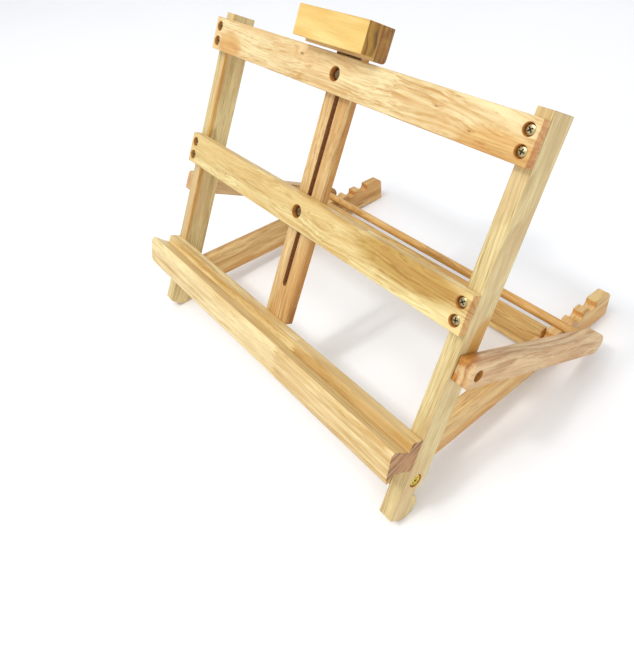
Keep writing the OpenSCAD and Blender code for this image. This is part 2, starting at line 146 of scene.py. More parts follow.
def lathe(profile, seg=48):
    """A closed solid turned about Z from (radius, z) points that run from the axis to the axis."""
    verts, faces, rings = [], [], []
    for r, z in profile:
        if r < 1e-6:
            rings.append([len(verts)])
            verts.append((0, 0, z))
        else:
            rings.append(list(range(len(verts), len(verts) + seg)))
            verts += [(r * math.cos(2 * math.pi * k / seg), r * math.sin(2 * math.pi * k / seg), z)
                      for k in range(seg)]
    for a, b in zip(rings, rings[1:]):
        for k in range(seg):
            j = (k + 1) % seg
            if len(a) == 1 and len(b) > 1:
                faces.append((a[0], b[k], b[j]))
            elif len(b) == 1 and len(a) > 1:
                faces.append((a[k], b[0], a[j]))
            elif len(a) > 1:
                faces.append((a[k], b[k], b[j], a[j]))
    return verts, faces


def aim(axis, spin=0.0):
    """Turns +Z to axis, after a turn by spin about it."""
    return Vector((0, 0, 1)).rotation_difference(Vector(axis)).to_matrix() @ Matrix.Rotation(spin, 3, "Z")


def turned(profile, origin, axis, seg=48, spin=0.0):
    """Vertices and faces of a turned solid whose +Z points along axis from origin."""
    verts, faces = lathe(profile, seg)
    turn = aim(axis, spin)
    return [tuple(Vector(origin) + turn @ Vector(v)) for v in verts], faces


def join(parts):
    verts, faces = [], []
    for v, f in parts:
        n = len(verts)
        verts += v
        faces += [tuple(i + n for i in q) for q in f]
    return verts, faces


def make_outward(me):
    bm = bmesh.new()
    bm.from_mesh(me)
    bmesh.ops.recalc_face_normals(bm, faces=bm.faces)
    bm.to_mesh(me)
    bm.free()


def hole(origin, axis, depth, r, through=0.0, r2=1.0, mouth=0.45):
    """A cutter for a counterbore with a softened mouth: axis points into the wood, r2 is the hole behind it."""
    prof = [(0, -1.0), (r + mouth + mouth, -1.0), (r + mouth, 0.0), (r, mouth), (r, depth)]
    if through:
        prof += [(r2, depth + 0.6), (r2, through), (0, through)]
    else:
        prof += [(0, depth)]
    return turned(prof, origin, axis)


def pin_hole(origin, axis, depth):
    """A cutter for the plain hole that a pivot screw turns or holds in."""
    return turned([(0, -1), (PIVOT_HOLE_R, -1), (PIVOT_HOLE_R, depth), (0, depth)], origin, axis)


def cut(ob, cutters):
    """Takes the cutters away; the cut faces get the second material."""
    verts, faces = join(cutters)
    me = new_mesh(ob.name + "_cut", verts, faces)
    make_outward(me)
    for holder in (me, ob.data):
        while len(holder.materials) < 2:
            holder.materials.append(None)
    for poly in me.polygons:
        poly.material_index = 1
    tool = new_obj(ob.name + "_cut", me)
    mod = ob.modifiers.new("cut", "BOOLEAN")
    mod.operation, mod.solver, mod.object = "DIFFERENCE", "EXACT", tool
    mod.use_self = True
    settle(ob)
    bpy.data.objects.remove(tool)
    bpy.data.meshes.remove(me)


def soften(ob, width, angle=28):
    """Rounds every edge sharper than angle."""
    mod = ob.modifiers.new("edge", "BEVEL")
    mod.width, mod.segments, mod.limit_method, mod.angle_limit = width * MM, 3, "ANGLE", rad(angle)
    mod.use_clamp_overlap = True
    mod.profile = 0.5
    mod.harden_normals = False
    settle(ob)


def shade(ob, angle=32):
    """Smooth shading that stays crisp at edges sharper than angle."""
    me = ob.data
    bm = bmesh.new()
    bm.from_mesh(me)
    for f in bm.faces:
        f.smooth = True
    for e in bm.edges:
        e.smooth = not (len(e.link_faces) != 2 or e.calc_face_angle(0) > rad(angle))
    bm.to_mesh(me)
    bm.free()
    mod = ob.modifiers.new("normals", "WEIGHTED_NORMAL")
    mod.keep_sharp, mod.weight, mod.mode = True, 80, "FACE_AREA"


def finish_piece(ob, body, material, slot, *nodes):
    """Gives a piece its materials and body, and lets it stand for its CAD nodes; slot is not used."""
    mats = list(material) if isinstance(material, (list, tuple)) else [material, m_bore]
    while len(ob.data.materials) < len(mats):
        ob.data.materials.append(None)
    for i in range(len(ob.data.materials)):
        ob.data.materials[i] = mats[min(i, len(mats) - 1)]
    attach(ob, body)
    if nodes:
        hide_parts(*nodes)
    return ob


def arc(cy, cz, r, a0, a1, n):
    return [(cy + r * math.cos(rad(a0 + (a1 - a0) * i / n)), cz + r * math.sin(rad(a0 + (a1 - a0) * i / n)))
            for i in range(n + 1)]


# ---------------------------------------------------------------- materials
class Tree:
    """A short way to write shader nodes."""

    def __init__(self, name):
        self.mat = bpy.data.materials.new(name)
        self.mat.use_nodes = True
        self.t = self.mat.node_tree
        self.t.nodes.clear()

    def node(self, kind, **props):
        n = self.t.nodes.new(kind)
        for k, v in props.items():
            setattr(n, k, v)
        return n

    def put(self, socket, value):
        if hasattr(value, "is_output"):
            self.t.links.new(value, socket)
        elif value is not None:
            socket.default_value = value

    def math(self, op, a, b=None, clamp=False):
        n = self.node("ShaderNodeMath", operation=op, use_clamp=clamp)
        for i, v in enumerate((a, b)):
            self.put(n.inputs[i], v)
        return n.outputs[0]

    def gather(self, op, total, value):
        """total and value joined by op; the first value stands alone."""
        return value if total is None else self.math(op, total, value)

    def distance(self, point, spot, stretch):
        """How far point is from spot, both (along, across, depth), with the way along the grain shortened."""
        d = [self.math("SUBTRACT", p, q) for p, q in zip(point, spot)]
        d[0] = self.math("DIVIDE", d[0], stretch)
        d = [self.math("MULTIPLY", p, p) for p in d]
        return self.math("SQRT", self.math("ADD", d[0], self.math("ADD", d[1], d[2])))

    def ramp(self, value, lo, hi, to_lo=0.0, to_hi=1.0):
        n = self.node("ShaderNodeMapRange", interpolation_type="SMOOTHSTEP")
        for i, v in enumerate((value, lo, hi, to_lo, to_hi)):
            self.put(n.inputs[i], v)
        return n.outputs[0]

    def mix(self, f, a, b, kind="MIX"):
        n = self.node("ShaderNodeMix", data_type="RGBA", blend_type=kind, clamp_factor=True)
        self.put(n.inputs[0], f)
        for s, v in ((n.inputs[6], a), (n.inputs[7], b)):
            self.put(s, v if hasattr(v, "is_output") or v is None else (*v, 1.0) if len(v) == 3 else v)
        return n.outputs[2]

    def noise(self, vec, scale, detail=3.0, rough=0.55):
        n = self.node("ShaderNodeTexNoise", noise_dimensions="3D")
        self.put(n.inputs["Vector"], vec)
        n.inputs["Scale"].default_value = scale
        n.inputs["Detail"].default_value = detail
        n.inputs["Roughness"].default_value = rough
        return n.outputs[0]

    def xyz(self, x, y, z):
        n = self.node("ShaderNodeCombineXYZ")
        for i, v in enumerate((x, y, z)):
            self.put(n.inputs[i], v)
        return n.outputs[0]

    def surface(self, colour, rough, fixed, relief=None, strength=0.0, distance=0.0):
        """Ends the tree in a Principled shader; fixed holds the sockets whose value is the same all over."""
        bsdf = self.node("ShaderNodeBsdfPrincipled")
        self.put(bsdf.inputs["Base Color"], colour)
        self.put(bsdf.inputs["Roughness"], rough)
        for socket, value in fixed.items():
            bsdf.inputs[socket].default_value = value
        if relief is not None:
            bump = self.node("ShaderNodeBump")
            bump.inputs["Strength"].default_value = strength
            bump.inputs["Distance"].default_value = distance
            self.put(bump.inputs["Height"], relief)
            self.put(bsdf.inputs["Normal"], bump.outputs[0])
        self.put(self.node("ShaderNodeOutputMaterial").inputs[0], bsdf.outputs[0])
        return self.mat


def srgb(r, g, b, level=1.0):
    """A linear colour from an 8-bit one seen under a light of the given level."""
    out = []
    for v in (r, g, b):
        v /= 255.0
        v = v / 12.92 if v <= 0.04045 else ((v + 0.055) / 1.055) ** 2.4
        out.append(min(v / level, 0.96))
    return tuple(out)


KNOT_STRETCH, KNOT_SWIRL, KNOT_TONE = 2.4, 2.2, (0.24, 0.11, 0.035)
FINGER = 2.1                                        # half the width of a finger in a finger joint, in mm
DRIFT, BLUSH_BY, WOOD_ROUGH = 0.02, 0.6, 0.38
EDGE_R, EDGE_BY, EDGE_TONE = 0.0016, 0.6, (0.74, 0.54, 0.34)
OIL = {"Specular IOR Level": 0.38, "Coat Weight": 0.08, "Coat Roughness": 0.35}


def wood(name, light, dark, blush, axis="X", seed=0.0, ring=4.2, figure=0.42, broad=2.1, fibre=1.8, streak=0.40,
         pith=(-60.0, 21.0), joints=(), knots=(), stains_and_shade=(), end=(0.86, 0.62, 0.44), joint_tone=0.3, base=0.30,
         roam=52.0, end_rings=0.75, stain_and_shade_by=0.9, stain_and_shade_tone=(0.86, 0.66, 0.42)):
    """Sanded and oiled softwood, with lengths in mm.

    axis is the way of the grain, ring the width of a growth ring and pith the middle of the rings. joints are finger
    joints along the grain. A knot is (along, across, depth, radius), and a darker patch has its stretch along the
    grain too; some patches are real stains, the others are painted shade.
    figure, broad, fibre and streak say how strongly rings, bands, fibres and dashes darken the wood.
    """
    t = Tree(name)
    tex = t.node("ShaderNodeTexCoord")
    sep = t.node("ShaderNodeSeparateXYZ")
    t.put(sep.inputs[0], tex.outputs["Object"])
    order = {"X": (0, 1, 2), "Y": (1, 2, 0), "Z": (2, 0, 1)}[axis]
    along, across, depth = (t.math("MULTIPLY", sep.outputs[i], 1000.0) for i in order)
    spot = (along, across, depth)
    core = swirl = stain_and_shade = None
    for ka, kc, kd, kr in knots:
        dist = t.distance(spot, (ka, kc, kd), KNOT_STRETCH)
        core = t.gather("MAXIMUM", core, t.ramp(dist, kr * 0.3, kr, 1.0, 0.0))
        swirl = t.gather("ADD", swirl, t.ramp(dist, 0.0, kr * 4.0, 1.0, 0.0))
    for ka, kc, kd, kr, stretch in stains_and_shade:
        dist = t.distance(spot, (ka, kc, kd), stretch)
        stain_and_shade = t.gather("MAXIMUM", stain_and_shade, t.ramp(dist, kr * 0.25, kr, 1.0, 0.0))
    tone = line = None
    if joints:
        shift = None
        zigzag = t.math("MULTIPLY", t.math("PINGPONG", t.math("ADD", depth, 200.0), FINGER), FINGER * 2)
        fingers = t.math("ADD", along, zigzag)
        for j in joints:
            shift = t.gather("ADD", shift, t.math("GREATER_THAN", fingers, j))
            near = t.ramp(t.math("ABSOLUTE", t.math("SUBTRACT", fingers, j)), 0.2, 0.9, 1.0, 0.0)
            line = t.gather("MAXIMUM", line, near)
        tone = t.math("FRACT", t.math("MULTIPLY", t.math("ADD", shift, seed * 0.37 + 0.31), 0.618))
        # each length between two joints is another piece of the tree
        along, across, depth = (t.math("ADD", p, t.math("MULTIPLY", shift, jump))
                                for p, jump in ((along, 377.0), (across, 17.3), (depth, -11.9)))
    along = t.math("ADD", along, 731.0 * seed)
    # slow wander of the fibres
    slow = t.xyz(t.math("MULTIPLY", along, 0.0046), t.math("MULTIPLY", across, 0.02), t.math("MULTIPLY", depth, 0.02))
    wander = t.node("ShaderNodeTexNoise", noise_dimensions="3D")
    t.put(wander.inputs["Vector"], slow)
    wander.inputs["Scale"].default_value = 1.0
    wander.inputs["Detail"].default_value = 2.0
    split = t.node("ShaderNodeSeparateXYZ")
    t.put(split.inputs[0], wander.outputs["Color"])
    u = t.math("ADD", across, t.math("MULTIPLY", t.math("SUBTRACT", split.outputs[0], 0.5), roam))
    v = t.math("ADD", depth, t.math("MULTIPLY", t.math("SUBTRACT", split.outputs[1], 0.5), roam))
    if swirl is not None:
        u, v = (t.math("ADD", p, t.math("MULTIPLY", swirl, KNOT_SWIRL)) for p in (u, v))

    def grain(a, b, detail, rough=0.55, p=u, q=v):
        """Noise drawn out along the fibres: a is its scale along the board, b across it."""
        scaled = (t.math("MULTIPLY", c, f) for c, f in ((along, a), (p, b), (q, b)))
        return t.noise(t.xyz(*scaled), 1.0, detail, rough)

    # growth rings round a pith outside the board
    py = t.math("SUBTRACT", u, pith[0] + 9.0 * math.sin(seed * 3.1))
    pz = t.math("SUBTRACT", v, pith[1] + 9.0 * math.cos(seed * 2.3))
    r = t.math("SQRT", t.math("ADD", t.math("MULTIPLY", py, py), t.math("MULTIPLY", pz, pz)))
    r = t.math("ADD", r, t.math("MULTIPLY", along, DRIFT))
    uneven = t.noise(t.xyz(t.math("MULTIPLY", r, 0.045), 0.0, seed * 5.0), 1.0, 2.0)
    phase = t.math("FRACT", t.math("ADD", t.math("DIVIDE", r, ring), t.math("MULTIPLY", uneven, 2.6)))
    late = t.math("MULTIPLY", t.ramp(phase, 0.30, 0.88), t.ramp(phase, 0.88, 1.0, 1.0, 0.0))
    late = t.math("MULTIPLY", late, t.ramp(grain(0.006, 0.03, 2.0, p=across, q=depth), 0.35, 0.65, 0.15, 1.0))
    # wide soft bands, thin fibres, dark dashes and short pores
    bands = grain(0.0075, 0.085, 3.0)
    thin = grain(0.03, 0.75, 4.0, 0.6)
    dashes = t.ramp(grain(0.035, 0.42, 3.0, 0.6), 0.54, 0.68)
    pores = t.ramp(grain(0.16, 2.0, 2.0, 0.6), 0.60, 0.72)
    mixby = t.math("MULTIPLY", late, figure)
    mixby = t.math("ADD", mixby, t.math("MULTIPLY", t.math("SUBTRACT", bands, 0.5), broad))
    mixby = t.math("ADD", mixby, t.math("MULTIPLY", t.math("SUBTRACT", thin, 0.5), fibre))
    mixby = t.math("ADD", mixby, t.math("MULTIPLY", dashes, streak))
    mixby = t.math("ADD", mixby, t.math("MULTIPLY", pores, 0.14))
    if tone is not None:
        mixby = t.math("ADD", mixby, t.math("MULTIPLY", t.math("SUBTRACT", tone, 0.5), joint_tone))
        mixby = t.math("ADD", mixby, t.math("MULTIPLY", line, 0.30))
    mixby = t.math("ADD", mixby, base, clamp=True)
    col = t.mix(mixby, light, dark)
    col = t.mix(t.math("MULTIPLY", t.ramp(grain(0.0085, 0.045, 3.0), 0.42, 0.66), BLUSH_BY), col, blush)
    # darker patches: real stains on the rails, painted shade on the posts, the side of the mast and the front of the
    # right arm
    if stain_and_shade is not None:
        patchy = t.ramp(t.math("ADD", stain_and_shade, t.math("MULTIPLY", bands, 0.5)), 0.35, 1.0)
        col = t.mix(t.math("MULTIPLY", patchy, stain_and_shade_by), col, t.mix(1.0, col, stain_and_shade_tone, "MULTIPLY"))
    if core is not None:
        col = t.mix(t.math("MULTIPLY", core, 0.75), col, KNOT_TONE)
    # handled edges are darker in places
    bevel = t.node("ShaderNodeBevel", samples=4)
    bevel.inputs["Radius"].default_value = EDGE_R
    geom = t.node("ShaderNodeNewGeometry")
    facing = t.node("ShaderNodeVectorMath", operation="DOT_PRODUCT")
    t.put(facing.inputs[0], bevel.outputs[0])
    t.put(facing.inputs[1], geom.outputs["Normal"])
    edge = t.ramp(facing.outputs["Value"], 0.90, 0.995, 1.0, 0.0)
    edge = t.math("MULTIPLY", t.math("MULTIPLY", edge, t.ramp(bands, 0.32, 0.58)), EDGE_BY)
    col = t.mix(edge, col, t.mix(1.0, col, EDGE_TONE, "MULTIPLY"))
    # ends of the board are darker and redder, because end grain drinks the oil; the dark ends of the clamp pieces
    # also hold painted shade
    nrm = t.node("ShaderNodeSeparateXYZ")
    t.put(nrm.inputs[0], tex.outputs["Normal"])
    is_end = t.ramp(t.math("ABSOLUTE", nrm.outputs[order[0]]), 0.55, 0.92)
    rings = tuple(c * f for c, f in zip(end, (end_rings, end_rings * 0.9, end_rings * 0.84)))
    endcol = t.mix(late, end, rings)
    col = t.mix(is_end, col, t.mix(1.0, col, endcol, "MULTIPLY"))
    rough = t.math("ADD", t.math("MULTIPLY", thin, 0.16), t.math("MULTIPLY", pores, 0.10))
    relief = t.math("ADD", t.math("MULTIPLY", thin, 0.5), t.math("MULTIPLY", pores, -0.8))
    relief = t.math("ADD", relief, t.math("MULTIPLY", late, 0.35))
    return t.surface(col, t.math("ADD", rough, WOOD_ROUGH), OIL, relief, 0.4, 0.00015)


def speckled(name, first, second, third, metallic, rough, relief=0.00006):
    """Metal or bored wood: cloudy between two colours, with fine specks of a third."""
    t = Tree(name)
    tex = t.node("ShaderNodeTexCoord")
    mp = t.node("ShaderNodeMapping")
    t.put(mp.inputs[0], tex.outputs["Object"])
    mp.inputs["Scale"].default_value = (1000.0,) * 3
    cloud = t.noise(mp.outputs[0], 0.35, 4.0)
    fine = t.noise(mp.outputs[0], 3.5, 5.0, 0.65)
    col = t.mix(t.ramp(cloud, 0.35, 0.7), first, second)
    col = t.mix(t.math("MULTIPLY", t.ramp(fine, 0.55, 0.75), 0.35), col, third)
    rough_by = t.math("ADD", t.math("MULTIPLY", cloud, 0.25), rough - 0.12)
    return t.surface(col, rough_by, {"Metallic": metallic}, fine, 0.2, relief)


def palette(level, *colours):
    return tuple(srgb(*c, level) for c in colours)


# light wood, dark wood and blush
RAIL = palette(1.14, (247, 228, 174), (202, 156, 90), (224, 180, 118))
LOWER = palette(1.14, (246, 229, 166), (200, 160, 88), (228, 192, 122))
POST = palette(1.04, (228, 208, 152), (176, 146, 86), (206, 172, 122))
TRAY = palette(1.05, (240, 220, 164), (194, 152, 82), (222, 190, 130))
BASE = palette(0.95, (222, 190, 130), (166, 116, 52), (200, 144, 74))
ARM = palette(0.98, (216, 186, 138), (164, 114, 64), (202, 158, 108))
MAST = palette(1.06, (230, 200, 142), (178, 128, 66), (208, 156, 88))
HEAD = palette(1.17, (252, 222, 142), (214, 164, 74), (236, 188, 96))
CROSS = palette(1.0, (226, 190, 120), (166, 120, 52), (196, 144, 70))
ROD = palette(1.0, (230, 188, 118), (186, 134, 66), (212, 158, 84))

# the darker orange strip along the inner front edge of the left post is painted shade
m_post_l = wood("wood_post_left", *POST, axis="Z", seed=1.3, ring=4.4, base=0.30, roam=16.0, broad=1.4,
                stains_and_shade=((250.0, -227.5, 1.0, 6.5, 42.0),), stain_and_shade_tone=(0.88, 0.62, 0.28))
# the orange patch on the outer side of the right post, above the arm, is painted shade with painted warm bounce light
# from the arm
m_post_r = wood("wood_post_right", *POST, axis="Z", seed=2.7, ring=4.0, base=0.26, roam=16.0, broad=1.4,
                end=(1.0, 0.97, 0.92), stains_and_shade=((204.0, 247.0, 28.0, 24.0, 1.6),), stain_and_shade_tone=(0.86, 0.56, 0.18))
m_upper = wood("wood_upper_rail", *RAIL, seed=0.6, ring=5.0, joints=(-113.0, 92.0), base=0.26, roam=40.0,
               knots=((-60.0, -12.0, 395.0, 2.2), (141.0, -12.0, 389.0, 1.2), (183.0, -12.0, 378.0, 1.0)),
               stains_and_shade=((-205.0, -12.0, 376.0, 24.0, 1.6), (215.0, -12.0, 372.0, 26.0, 2.4)), end_rings=0.92)
m_lower = wood("wood_lower_rail", *LOWER, seed=3.4, ring=5.0, joints=(103.0,), joint_tone=0.7, base=0.20,
               roam=40.0, end_rings=0.92,
               knots=((-150.0, -12.0, 226.0, 1.2), (20.0, -12.0, 240.0, 1.0)),
               stains_and_shade=((165.0, -12.0, 243.0, 26.0, 4.0),), stain_and_shade_tone=(0.68, 0.52, 0.25))
m_tray = wood("wood_tray", *TRAY, seed=5.2, ring=8.0, joints=(66.0,), base=0.30, end=(0.64, 0.45, 0.37),
              pith=(-220.0, 300.0), roam=14.0, end_rings=0.42, figure=0.55, broad=2.0)
# the darker right side of the mast is painted shade
m_mast = wood("wood_mast", *MAST, axis="Z", seed=4.1, ring=5.2, figure=0.5, base=0.34, roam=30.0,
              stains_and_shade=((260.0, 22.0, 9.0, 9.0, 40.0),), stain_and_shade_tone=(0.80, 0.58, 0.30))
# the dark end colour of the clamp head and backer is partly end grain and partly painted shade
m_head = wood("wood_clamp_head", *HEAD, seed=6.6, ring=9.0, figure=0.25, broad=1.8, fibre=0.7, streak=0.10,
              end=(0.57, 0.43, 0.17), end_rings=0.32, pith=(-300.0, 430.0), roam=30.0)
m_back = wood("wood_clamp_backer", *MAST, seed=7.5, ring=6.0, end=(0.56, 0.42, 0.18), end_rings=0.38,
              pith=(-300.0, 430.0), roam=20.0)
m_base_l = wood("wood_base_left", *BASE, axis="Y", seed=8.2, ring=5.5, end=(0.95, 0.74, 0.48), roam=24.0)
m_base_r = wood("wood_base_right", *BASE, axis="Y", seed=9.1, ring=5.0, end=(0.98, 0.82, 0.60), base=0.22,
                roam=24.0)
m_cross = wood("wood_crossbar", *CROSS, seed=2.2, ring=5.0, figure=0.6, roam=36.0)
m_arm_l = wood("wood_arm_left", *ARM, axis="Y", seed=3.9, ring=7.0, base=0.24, roam=34.0, figure=0.6,
               pith=(20.0, -700.0), end=(1.0, 0.96, 0.88), end_rings=0.85)
# the darker orange patches at the front of the right arm are painted shade, where it meets the post and under its
# front end
m_arm_r = wood("wood_arm_right", *ARM, axis="Y", seed=5.7, ring=7.5, base=0.20, roam=34.0, figure=0.65,
               pith=(20.0, 700.0), end=(1.0, 0.96, 0.88), end_rings=0.80,
               stains_and_shade=((-6.0, 15.0, 246.0, 19.0, 1.3), (-13.0, -9.0, 246.0, 8.0, 1.0)), stain_and_shade_by=1.0,
               stain_and_shade_tone=(0.80, 0.54, 0.17))
m_rod = wood("wood_rod", *ROD, seed=1.9, ring=3.2, figure=0.5)
# the walls of bores are cut wood whose darkness is partly painted shade; the narrow slot is darker still, which is
# painted shade
m_bore = speckled("bored_wood", (0.56, 0.25, 0.05), (0.42, 0.17, 0.03), (0.16, 0.07, 0.02), 0.0, 0.75, 0.0002)
m_slot = speckled("slot_wood", (0.34, 0.13, 0.03), (0.22, 0.08, 0.02), (0.10, 0.04, 0.01), 0.0, 0.75, 0.0002)
m_brass = speckled("brass_screws", (0.62, 0.52, 0.28), (0.42, 0.36, 0.19), (0.16, 0.13, 0.06), 1.0, 0.30)
m_gold = speckled("yellow_screws", (0.72, 0.58, 0.12), (0.50, 0.38, 0.07), (0.18, 0.11, 0.02), 1.0, 0.24)
# the near-black of the cross recesses in the screws is painted shade
m_recess = speckled("screw_recess", (0.10, 0.075, 0.04), (0.06, 0.045, 0.03), (0.02, 0.015, 0.01), 0.6, 0.6)
m_steel = speckled("zinc_hardware", (0.66, 0.66, 0.64), (0.50, 0.50, 0.48), (0.22, 0.20, 0.17), 1.0, 0.34)
# the dark colour of the bolt heads is painted shade of their deep bores
m_bolt = speckled("bolt_heads_in_painted_shade", (0.26, 0.17, 0.09), (0.15, 0.09, 0.05), (0.05, 0.03, 0.02), 1.0, 0.22)

# ---------------------------------------------------------------- posts
def board(name, outline, span, edge, matrix, body, material, slot, node, cutters=(), angle=28):
    """A softened board between two x values, cut to shape, in place of its CAD node."""
    ob = new_obj(name, prism(name, outline, *span))
    soften(ob, edge, angle)
    if cutters:
        cut(ob, cutters)
    shade(ob)
    ob.matrix_world = matrix
    return finish_piece(ob, body, material, slot, node)


# up the rear edge: round heel, the notch above it, the round shoulder
outline = [(0, 0), (3.4, -1.5)] + arc(HEEL_Y, HEEL_S, HEEL_R, -122, 70, 26)
outline += [(22.2, 26.0), (21.4, 26.9), (21.6, 28.1)] + arc(-6, 54, 38, -40.5, 0, 12)
outline += [(POST_D, POST_L), (0, POST_L)]
for side, tag, mat in ((-1, "left", m_post_l), (1, "right", m_post_r)):
    tools = [hole((side * HALF, MID, PIVOT_S), (-side, 0, 0), FOOT_BORE, WIDE_BORE_R, POST_W + 1.0, FREE_HOLE_R),
             hole((side * (HALF - POST_W / 2), POST_D, TRAY_S + TRAY_SCREW_S), (0, -1, 0), TRAY_BORE, SCREW_BORE_R,
                  POST_D + 1.0, SCREW_HOLE_R),
             pin_hole((side * HALF, MID, ARM_S), (-side, 0, 0), ARM_SCREW_HOLE)]
    board("post_%s_wood" % tag, outline, sorted((side * (HALF - POST_W), side * HALF)), 0.9, IN_FRAME, "frame", mat,
          "pine_post", "post_" + tag, tools)

# ---------------------------------------------------------------- rails
for tag, s0, mat in (("upper", UPPER_S, m_upper), ("lower", LOWER_S, m_lower)):
    box = [(-RAIL_T, s0), (0, s0), (0, s0 + RAIL_H), (-RAIL_T, s0 + RAIL_H)]
    tools = [hole((side * (HALF - SCREW_IN), -RAIL_T, s0 + up_by), (0, 1, 0), RAIL_BORE, SCREW_BORE_R, RAIL_T + 1,
                  SCREW_HOLE_R) for side in (-1, 1) for up_by in SCREW_ROWS]
    tools.append(hole((0, -RAIL_T, s0 + RAIL_H / 2), (0, 1, 0), BOLT_BORE, WIDE_BORE_R, RAIL_T + 1, BOLT_HOLE_R))
    board("%s_rail_wood" % tag, box, (-HALF, HALF), 1.1, IN_FRAME, "frame", mat, "pine_front", tag + "_rail", tools)

# ---------------------------------------------------------------- tray
section = [(0, 0), (0, 37), (-15, 37), (-15.6, 27.6), (-16.6, 27.2), (-24, 29.2), (-33, 32.1), (-39.5, 34.5),
           (-42.5, 29.5), (-37, 2), (-33, -5), (-29.5, 5.5), (-11, 2.5)]
board("tray_wood", [(y, TRAY_S + s) for y, s in section], (-HALF, HALF), 1.3, IN_FRAME, "frame", m_tray,
      "pine_front", "tray")

# ---------------------------------------------------------------- mast and clamp
plate = [(MAST_Y, MAST_S), (MAST_Y + MAST_T, MAST_S), (MAST_Y + MAST_T, MAST_TOP), (MAST_Y, MAST_TOP)]
ring = [(SLOT_R * math.cos(rad(a)), SLOT_LOW + SLOT_R * math.sin(rad(a))) for a in range(180, 361, 15)]
ring += [(SLOT_R * math.cos(rad(a)), SLOT_HIGH + SLOT_R * math.sin(rad(a))) for a in range(0, 181, 15)]


def bar(points, y0, y1):
    """A cutter whose outline is drawn in (x, z)."""
    n = len(points)
    v = [(x, y0, z) for x, z in points] + [(x, y1, z) for x, z in points]
    f = [tuple(range(n)), tuple(reversed(range(n, 2 * n)))] + [(i, n + i, n + (i + 1) % n, (i + 1) % n)
                                                              for i in range(n)]
    return v, f


tools = [bar(ring, MAST_Y - 1, MAST_Y + MAST_T + 1)]
tools += [hole((side * 10, MAST_Y + MAST_T, 426.95), (0, -1, 0), CLAMP_BORE, SMALL_BORE_R, MAST_T + 1, SCREW_HOLE_R)
          for side in (-1, 1)]
board("mast_wood", plate, (-MAST_W / 2, MAST_W / 2), 0.9, IN_FRAME, "mast", [m_mast, m_slot], "pine_base", "mast", tools)

CLAMP = (-CLAMP_HALF, CLAMP_HALF)
head = [(CLAMP_FRONT, CLAMP_LOW), (GLUE_LINE, CLAMP_LOW), (GLUE_LINE, CLAMP_TOP), (CLAMP_FRONT, CLAMP_TOP)]
board("clamp_head_wood", head, CLAMP, 1.0, IN_FRAME, "mast", m_head, "pine_front", "clamp_head")
back = [(GLUE_LINE, 408.2)] + arc(-4.7, 413.2, 5.0, -90, 0, 6) + [(MAST_Y, CLAMP_TOP), (GLUE_LINE, CLAMP_TOP)]
board("clamp_backer_wood", back, CLAMP, 0.9, IN_FRAME, "mast", m_back, "pine_base", "clamp_backer")

# ---------------------------------------------------------------- base rails with their notches
HALF_H = BASE_H / 2
OUTER = HALF - POST_W - GAP
INNER = OUTER - BASE_T


def notch(wall, seat):
    """Outline of one notch from back to front, and the rounded edges of its teeth."""
    f = FLOOR_H
    if seat:        # the tooth behind the rod slopes, so that the rod swings clear as the easel folds
        return [(wall + 10.6, f + 9.0), (wall + 8.4, f + 9.0), (wall + 6.6, f + 8.0), (wall, f + 3.08),
                (wall - 4.1, f), (wall - 9.2, f), (wall - 12.8, f + 3.6), (wall - 16.4, f + 8.3),
                (wall - 17.6, f + 9.0)]
    drop, step = (TOOTH_DROP, 8.0) if wall < FIRST - 1 else (REAR_DROP, 9.0)
    pts = [(wall + 1.6, HALF_H - drop), (wall + 0.5, f + step)]
    pts += arc(wall - POCKET, f + POCKET, POCKET, 5, -150, 14)
    return pts + [(wall - 16.4, f + 8.2), (wall - 17.8, f + 9.0)]


line = [(0, -HALF_H), (BASE_L - REST_R, -HALF_H)] + arc(BASE_L - REST_R, -HALF_H + REST_R, REST_R, -75, 0, 4)
line += arc(BASE_L - REAR_R, HALF_H - REAR_DROP - REAR_R, REAR_R, 0, 90, 10)
for i in range(COUNT):
    line += notch(FIRST - i * PITCH, i == SEAT)
last = FIRST - (COUNT - 1) * PITCH
line = line[:-2] + [(last - 18.6, FLOOR_H + 11.0), (last - 19.9, HALF_H)]
line += [(0, HALF_H)] + arc(0, 0, HALF_H, 90, 270, 32)[1:-1]
clean = [line[0]]        # without doubled points
for p in line[1:]:
    if math.hypot(p[0] - clean[-1][0], p[1] - clean[-1][1]) > 0.05:
        clean.append(p)
for side, tag, mat in ((-1, "left", m_base_l), (1, "right", m_base_r)):
    tools = [pin_hole((side * OUTER, 0, 0), (-side, 0, 0), BASE_T + 1)]
    tools += [hole((side * OUTER, CROSS_Q + CROSS_T / 2, up_by), (-side, 0, 0), CROSS_BORE, SMALL_BORE_R, BASE_T + 1,
                   SCREW_HOLE_R) for up_by in (-13, -1)]
    board("base_rail_%s_wood" % tag, clean, sorted((side * INNER, side * OUTER)), 0.8, IN_BASE, "base", mat,
          "pine_base", "base_rail_" + tag, tools, angle=40)

plank = [(CROSS_Q, -HALF_H), (CROSS_Q + CROSS_T, -HALF_H), (CROSS_Q + CROSS_T, HALF_H), (CROSS_Q, HALF_H)]
board("crossbar_wood", plank, (-INNER, INNER), 0.8, IN_BASE, "base", m_cross, "pine_dark", "crossbar")

